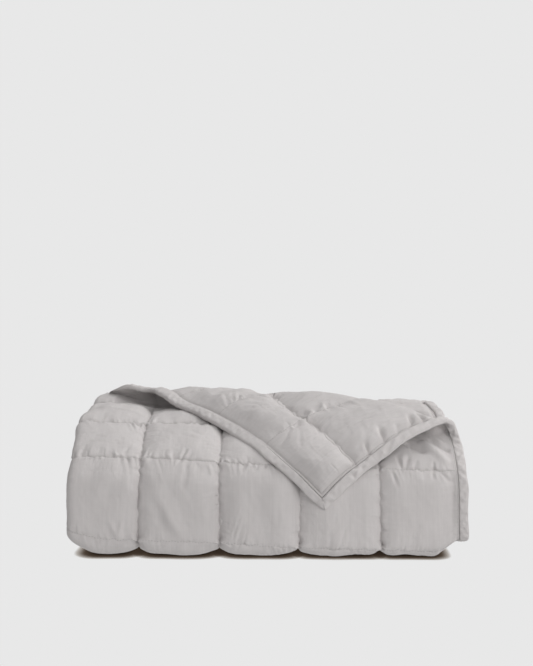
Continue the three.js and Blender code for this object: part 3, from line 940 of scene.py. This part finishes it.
def weaveGroup():
    group = bpy.data.node_groups.new("linenWeave", "ShaderNodeTree")
    newSockets(group, "INPUT", Cloth="Vector", Pitch="Float", Slub="Float")
    newSockets(group, "OUTPUT", Tone="Float", Height="Float")
    given, result = newNode(group, "NodeGroupInput"), newNode(group, "NodeGroupOutput")

    def maths(kind, a, b):
        node = newNode(group, "ShaderNodeMath", operation=kind)
        for socket, value in zip(node.inputs, (a, b)):
            if isinstance(value, bpy.types.NodeSocket):
                group.links.new(value, socket)
            else:
                socket.default_value = value
        return node.outputs[0]

    def times(a, b):
        return maths("MULTIPLY", a, b)

    def added(first, *others):
        for other in others:
            first = maths("ADD", first, other)
        return first

    def noise(name):
        stretched, detail, share = weaveLook[name]
        stretch = newNode(group, "ShaderNodeVectorMath", {1: stretched}, operation="MULTIPLY")
        node = newNode(group, "ShaderNodeTexNoise", {"Scale": 1, "Detail": detail})
        join(group, (given, "Cloth", stretch, 0), (stretch, 0, node, "Vector"))
        return times(maths("SUBTRACT", node.outputs["Fac"], weaveLook["middle"]), share)

    apart = newNode(group, "ShaderNodeSeparateXYZ")
    join(group, (given, "Cloth", apart, 0))
    turns = maths("DIVIDE", 2 * math.pi, given.outputs["Pitch"])
    crossing = times(*(maths("SINE", times(apart.outputs[axis], turns), 0) for axis in (0, 1)))
    slubs = times(added(noise("slubs"), noise("cross"), noise("streaks")), given.outputs["Slub"])
    tone = added(weaveLook["middle"], slubs, noise("clouds"), times(crossing, weaveLook["threadTone"]))
    height = added(times(crossing, weaveLook["threadHeight"]), slubs, noise("crumples"))
    group.links.new(tone, result.inputs["Tone"])
    group.links.new(height, result.inputs["Height"])
    return group


linenLook = {
    "dark": (.52, .4945, .4885), "light": (.64, .609, .601), "pitch": .0006, "slub": .5,
    # reverse: the reverse face's colour is multiplied by it, as painted shade on the turned-back corner
    "bump": .00022, "reverse": .95, "reverseFrom": .5,
    "surface": {
        "Roughness": .88, "Specular IOR Level": .2, "Sheen Weight": .12, "Sheen Roughness": .5,
    },
}
bindingLook = dict(linenLook, dark=(.50, .4755, .4695), light=(.62, .590, .582), bump=.0002, reverse=1)
threadLook = {"Base Color": (.36, .344, .336, 1), "Roughness": .8}
weave = weaveGroup()


# A mix of two colours: its node, the colours' sockets and the result's
def colourMix(tree, **fields):
    node = newNode(tree, "ShaderNodeMix", data_type="RGBA", **fields)
    return node, ofType(node.inputs, "RGBA"), ofType(node.outputs, "RGBA")[0]


# The reverse is the half of the map past the middle, and a little deeper in tone: painted shade, which
# darkens the turned-back corner where it faces the lamps
def reverseShadeTint(tree, place, colour, look):
    apart = newNode(tree, "ShaderNodeSeparateXYZ")
    reverse = newNode(tree, "ShaderNodeMath", operation="GREATER_THAN")
    reverse.inputs[1].default_value = look["reverseFrom"]
    paintedShade, colours, tinted = colourMix(tree, blend_type="MULTIPLY")
    colours[1].default_value = (look["reverse"],) * 3 + (1,)
    tree.links.new(place, apart.inputs[0])
    tree.links.new(colour, colours[0])
    join(tree, (apart, "X", reverse, 0), (reverse, 0, paintedShade, "Factor"))
    return tinted


def linenMaterial(name, look, metres):
    material, tree, shader = newMaterial(name)
    setInputs(shader, look["surface"])
    flat = newNode(tree, "ShaderNodeUVMap", uv_map="flatCloth")
    scale = newNode(tree, "ShaderNodeVectorMath", {1: metres}, operation="MULTIPLY")
    threads = newNode(tree, "ShaderNodeGroup", node_tree=weave)
    setInputs(threads, {"Pitch": look["pitch"], "Slub": look["slub"]})
    colour, tints, tinted = colourMix(tree)
    tints[0].default_value, tints[1].default_value = (*look["dark"], 1), (*look["light"], 1)
    bump = newNode(tree, "ShaderNodeBump", {"Distance": look["bump"]})
    join(
        tree, (flat, "UV", scale, 0), (scale, 0, threads, "Cloth"), (threads, "Tone", colour, "Factor"),
        (threads, "Height", bump, "Height"), (bump, "Normal", shader, "Normal"),
    )
    # The reverse face gets painted shade
    if look["reverse"] < 1:
        tinted = reverseShadeTint(tree, flat.outputs["UV"], tinted, look)
    tree.links.new(tinted, shader.inputs["Base Color"])
    return material


def threadMaterial():
    material, _, shader = newMaterial("thread")
    setInputs(shader, threadLook)
    return material


quilt.data.materials.append(linenMaterial("linen", linenLook, (2 * quiltWidth, quiltLength, 1)))
bindingStrip.data.materials.append(
    linenMaterial("linenBinding", bindingLook, (bindingLength, 2 * edge, 1)))

# Stitches along the seams and beside the binding
stitching = {
    "inputs": {"Pitch": .0036, "Length": .0027, "Thickness": .00055, "Seed": 5},
    "lengthLimits": (.8, 1.12), "grain": {"Radius": .5, "Subdivisions": 1},
    "lift": .0001, "outward": .001, "lineStep": .0015,
    "foldShare": .012, "rimOutside": .0012, "rimInside": .0032, "shownFrom": .40,
}


def stitchTree():
    tree = bpy.data.node_groups.new("stitchRow", "GeometryNodeTree")
    newSockets(tree, "INPUT", Geometry="Geometry", Pitch="Float", Length="Float", Thickness="Float")
    newSockets(tree, "INPUT", Seed="Int", Thread="Material")
    newSockets(tree, "OUTPUT", Geometry="Geometry")
    given, result, curve, tangent, size, placed, real, smooth, paint = (newNode(tree, kind) for kind in (
        "NodeGroupInput", "NodeGroupOutput", "GeometryNodeMeshToCurve", "GeometryNodeInputTangent",
        "ShaderNodeCombineXYZ", "GeometryNodeInstanceOnPoints", "GeometryNodeRealizeInstances",
        "GeometryNodeSetShadeSmooth", "GeometryNodeSetMaterial",
    ))
    spaced = newNode(tree, "GeometryNodeResampleCurve", mode="LENGTH")
    grain = newNode(tree, "GeometryNodeMeshIcoSphere", stitching["grain"])
    outward = newNode(tree, "GeometryNodeInputNamedAttribute", data_type="FLOAT_VECTOR")
    setInputs(outward, {"Name": "outward"})
    ahead = newNode(tree, "FunctionNodeAlignRotationToVector", axis="X")
    up = newNode(tree, "FunctionNodeAlignRotationToVector", axis="Z", pivot_axis="X")
    vary = newNode(tree, "FunctionNodeRandomValue", data_type="FLOAT")
    for socket, value in zip(ofType(vary.inputs, "VALUE"), stitching["lengthLimits"]):
        socket.default_value = value
    long = newNode(tree, "ShaderNodeMath", operation="MULTIPLY")
    tree.links.new(next(socket for socket in outward.outputs if socket.enabled), up.inputs["Vector"])
    tree.links.new(ofType(vary.outputs, "VALUE")[0], long.inputs[1])
    join(
        tree,
        (given, "Geometry", curve, "Mesh"), (curve, "Curve", spaced, "Curve"),
        (given, "Pitch", spaced, "Length"), (tangent, 0, ahead, "Vector"), (ahead, 0, up, "Rotation"),
        (given, "Seed", vary, "Seed"), (given, "Length", long, 0), (long, 0, size, "X"),
        (given, "Thickness", size, "Y"), (given, "Thickness", size, "Z"),
        (spaced, "Curve", placed, "Points"), (grain, "Mesh", placed, "Instance"),
        (up, 0, placed, "Rotation"), (size, 0, placed, "Scale"),
        (placed, "Instances", real, "Geometry"), (real, "Geometry", smooth, "Geometry"),
        (smooth, "Geometry", paint, "Geometry"), (given, "Thread", paint, "Material"),
        (paint, "Geometry", result, "Geometry"),
    )
    return tree


# Runs of stitches as points across and along the flat quilt, each on the face that shows
def stitchRuns():
    start, step = quiltLength - stitching["shownFrom"], stitching["lineStep"]
    across = np.arange(edge, straightAcross + turnAcross, step)
    along = np.arange(start, quiltLength - edge, step)
    lines = [(across, np.full(len(across), seam)) for seam in rowSeams[:-1] if seam > start]
    lines += [(np.full(len(along), seam), along) for seam in columnSeams[1:squares["turnColumn"]]]
    runs = []
    for w, s in lines:
        past = fromFold(w, s)[1]
        for outside, way in ((True, 1), (False, -1)):
            kept = past * way < stitching["foldShare"]
            runs.append((w[kept], s[kept], outside))
    for outside in (True, False):
        off = edge + stitching["rimOutside" if outside else "rimInside"]
        side = np.arange(start, quiltLength - off, step)
        end = np.arange(off, straightAcross, step)
        runs.append((np.full(len(side), off), side, outside))
        runs.append((end, np.full(len(end), quiltLength - off), outside))
    return [run for run in runs if len(run[0]) > 2]


def stitchPiece():
    places, ways, edges = [], [], []
    for w, s, outside in stitchRuns():
        lifts = (stitching["lift"], stitching["lift"] + stitching["outward"])
        low, high = (facePlace(w, s, outside, lift) for lift in lifts)
        first = sum(len(each) for each in places)
        edges.extend((first + k, first + k + 1) for k in range(len(w) - 1))
        places.append(low)
        ways.append((high - low) / np.linalg.norm(high - low, axis=1, keepdims=True))
    mesh = newMesh("seamLines", np.concatenate(places), edges, [])
    outward = mesh.attributes.new("outward", "FLOAT_VECTOR", "POINT")
    outward.data.foreach_set("vector", np.concatenate(ways).astype(np.float32).ravel())
    seamLines = newObject("seamLines", mesh)
    rows = seamLines.modifiers.new("stitches", "NODES")
    rows.node_group = stitchTree()
    values = dict(stitching["inputs"], Thread=threadMaterial())
    for item in rows.node_group.interface.items_tree:
        if item.name in values:
            rows[item.identifier] = values[item.name]
    shown = seamLines.evaluated_get(bpy.context.evaluated_depsgraph_get())
    sewn = bpy.data.meshes.new_from_object(shown)
    bpy.data.objects.remove(seamLines)
    sewn.name = "stitching"
    print("stitches:", len(sewn.polygons), "faces")
    return newObject("stitching", sewn)


stitches = stitchPiece()

# Floor and light of a plain studio
studio = {
    "floorSize": 30, "backdrop": .807, "contactShadowReach": .0125, "bounce": .68, "white": (1, 1, 1, 1),
    # contact: tints of the painted contact shadow on the floor, by ambient occlusion from touching to
    # clear
    "contactShadow": [(0, (.010, .006, .004)), (.4, (.08, .058, .042)), (.75, (.42, .39, .36))],
    "sky": .50, "skyFrom": (.75, -.6, .28), "skyDim": .35, "skyBright": 1.65,
    "lights": [                   # place, power and size
        ("key", (.6, .7, 1.5), 15.5, .8),
        ("fill", (1.1, -1.3, .5), 9, .9),
    ],
}


# One shader lights the scene, and the camera sees another
def cameraSplit(tree, lighting, seen, output):
    path, blend = newNode(tree, "ShaderNodeLightPath"), newNode(tree, "ShaderNodeMixShader")
    join(
        tree, (path, "Is Camera Ray", blend, 0), (lighting, 0, blend, 1), (seen, 0, blend, 2),
        (blend, 0, tree.nodes[output], "Surface"),
    )


# The floor glows evenly bright, with a painted contact shadow close to what stands on it, from ambient
# occlusion
def studioFloor():
    corners = studio["floorSize"] * np.array([(-1, -1, 0), (1, -1, 0), (1, 1, 0), (-1, 1, 0)])
    mesh = newMesh("floor", corners, [], [(0, 1, 2, 3)])
    floor = newObject("floor", mesh)
    material, tree, shader = newMaterial("paleFloorContactShadow")
    tree.nodes.remove(shader)
    occlusion = newNode(tree, "ShaderNodeAmbientOcclusion", {"Distance": studio["contactShadowReach"]})
    colour, shadowedGlow = newNode(tree, "ShaderNodeValToRGB"), newNode(tree, "ShaderNodeEmission")
    ramp = colour.color_ramp.elements
    ramp[0].color, ramp[1].color = (*studio["contactShadow"][0][1], 1), (studio["backdrop"],) * 3 + (1,)
    for place, tint in studio["contactShadow"][1:]:
        ramp.new(place).color = (*tint, 1)
    bounce = newNode(tree, "ShaderNodeEmission")
    setInputs(bounce, {"Color": studio["white"], "Strength": studio["bounce"]})
    # Ambient occlusion tints the glow the camera sees: painted contact shadow
    join(tree, (occlusion, "AO", colour, "Fac"), (colour, "Color", shadowedGlow, "Color"))
    cameraSplit(tree, bounce, shadowedGlow, "Material Output")
    mesh.materials.append(material)


def studioLight():
    world = bpy.data.worlds.new("studio")
    scene.world = world
    world.use_nodes = True
    tree = world.node_tree
    sky = tree.nodes["Background"]
    setInputs(sky, {"Color": studio["white"]})
    way = newNode(tree, "ShaderNodeTexCoord")
    toward = newNode(tree, "ShaderNodeVectorMath", {1: studio["skyFrom"]}, operation="DOT_PRODUCT")
    bright = newNode(tree, "ShaderNodeMapRange", {
        "From Min": -1, "To Min": studio["sky"] * studio["skyDim"],
        "To Max": studio["sky"] * studio["skyBright"],
    })
    plain = newNode(tree, "ShaderNodeBackground")
    setInputs(plain, {"Color": studio["white"], "Strength": studio["backdrop"]})
    join(
        tree, (way, "Generated", toward, 0), (toward, "Value", bright, "Value"),
        (bright, "Result", sky, "Strength"),
    )
    cameraSplit(tree, sky, plain, "World Output")
    for name, place, power, size in studio["lights"]:
        light = bpy.data.lights.new(name, "AREA")
        light.energy, light.size = power, size
        lamp = newObject(name, light)
        lamp.location = place
        lamp.rotation_euler = Vector(place).to_track_quat("Z", "Y").to_euler()


studioFloor()
studioLight()
scene.view_settings.view_transform = "Standard"

# Camera at the photograph's angle
view = {"place": (.0034, -1.63715, .387), "down": math.radians(4.32), "lens": 67.4}
camera = newObject("camera", bpy.data.cameras.new("camera"))
camera.data.lens = view["lens"]
camera.location = view["place"]
camera.rotation_euler = (math.pi / 2 - view["down"], 0, 0)
scene.camera = camera

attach(quilt, "root")
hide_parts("quilt")
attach(bindingStrip, "root")
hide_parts("binding")
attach(stitches, "root")
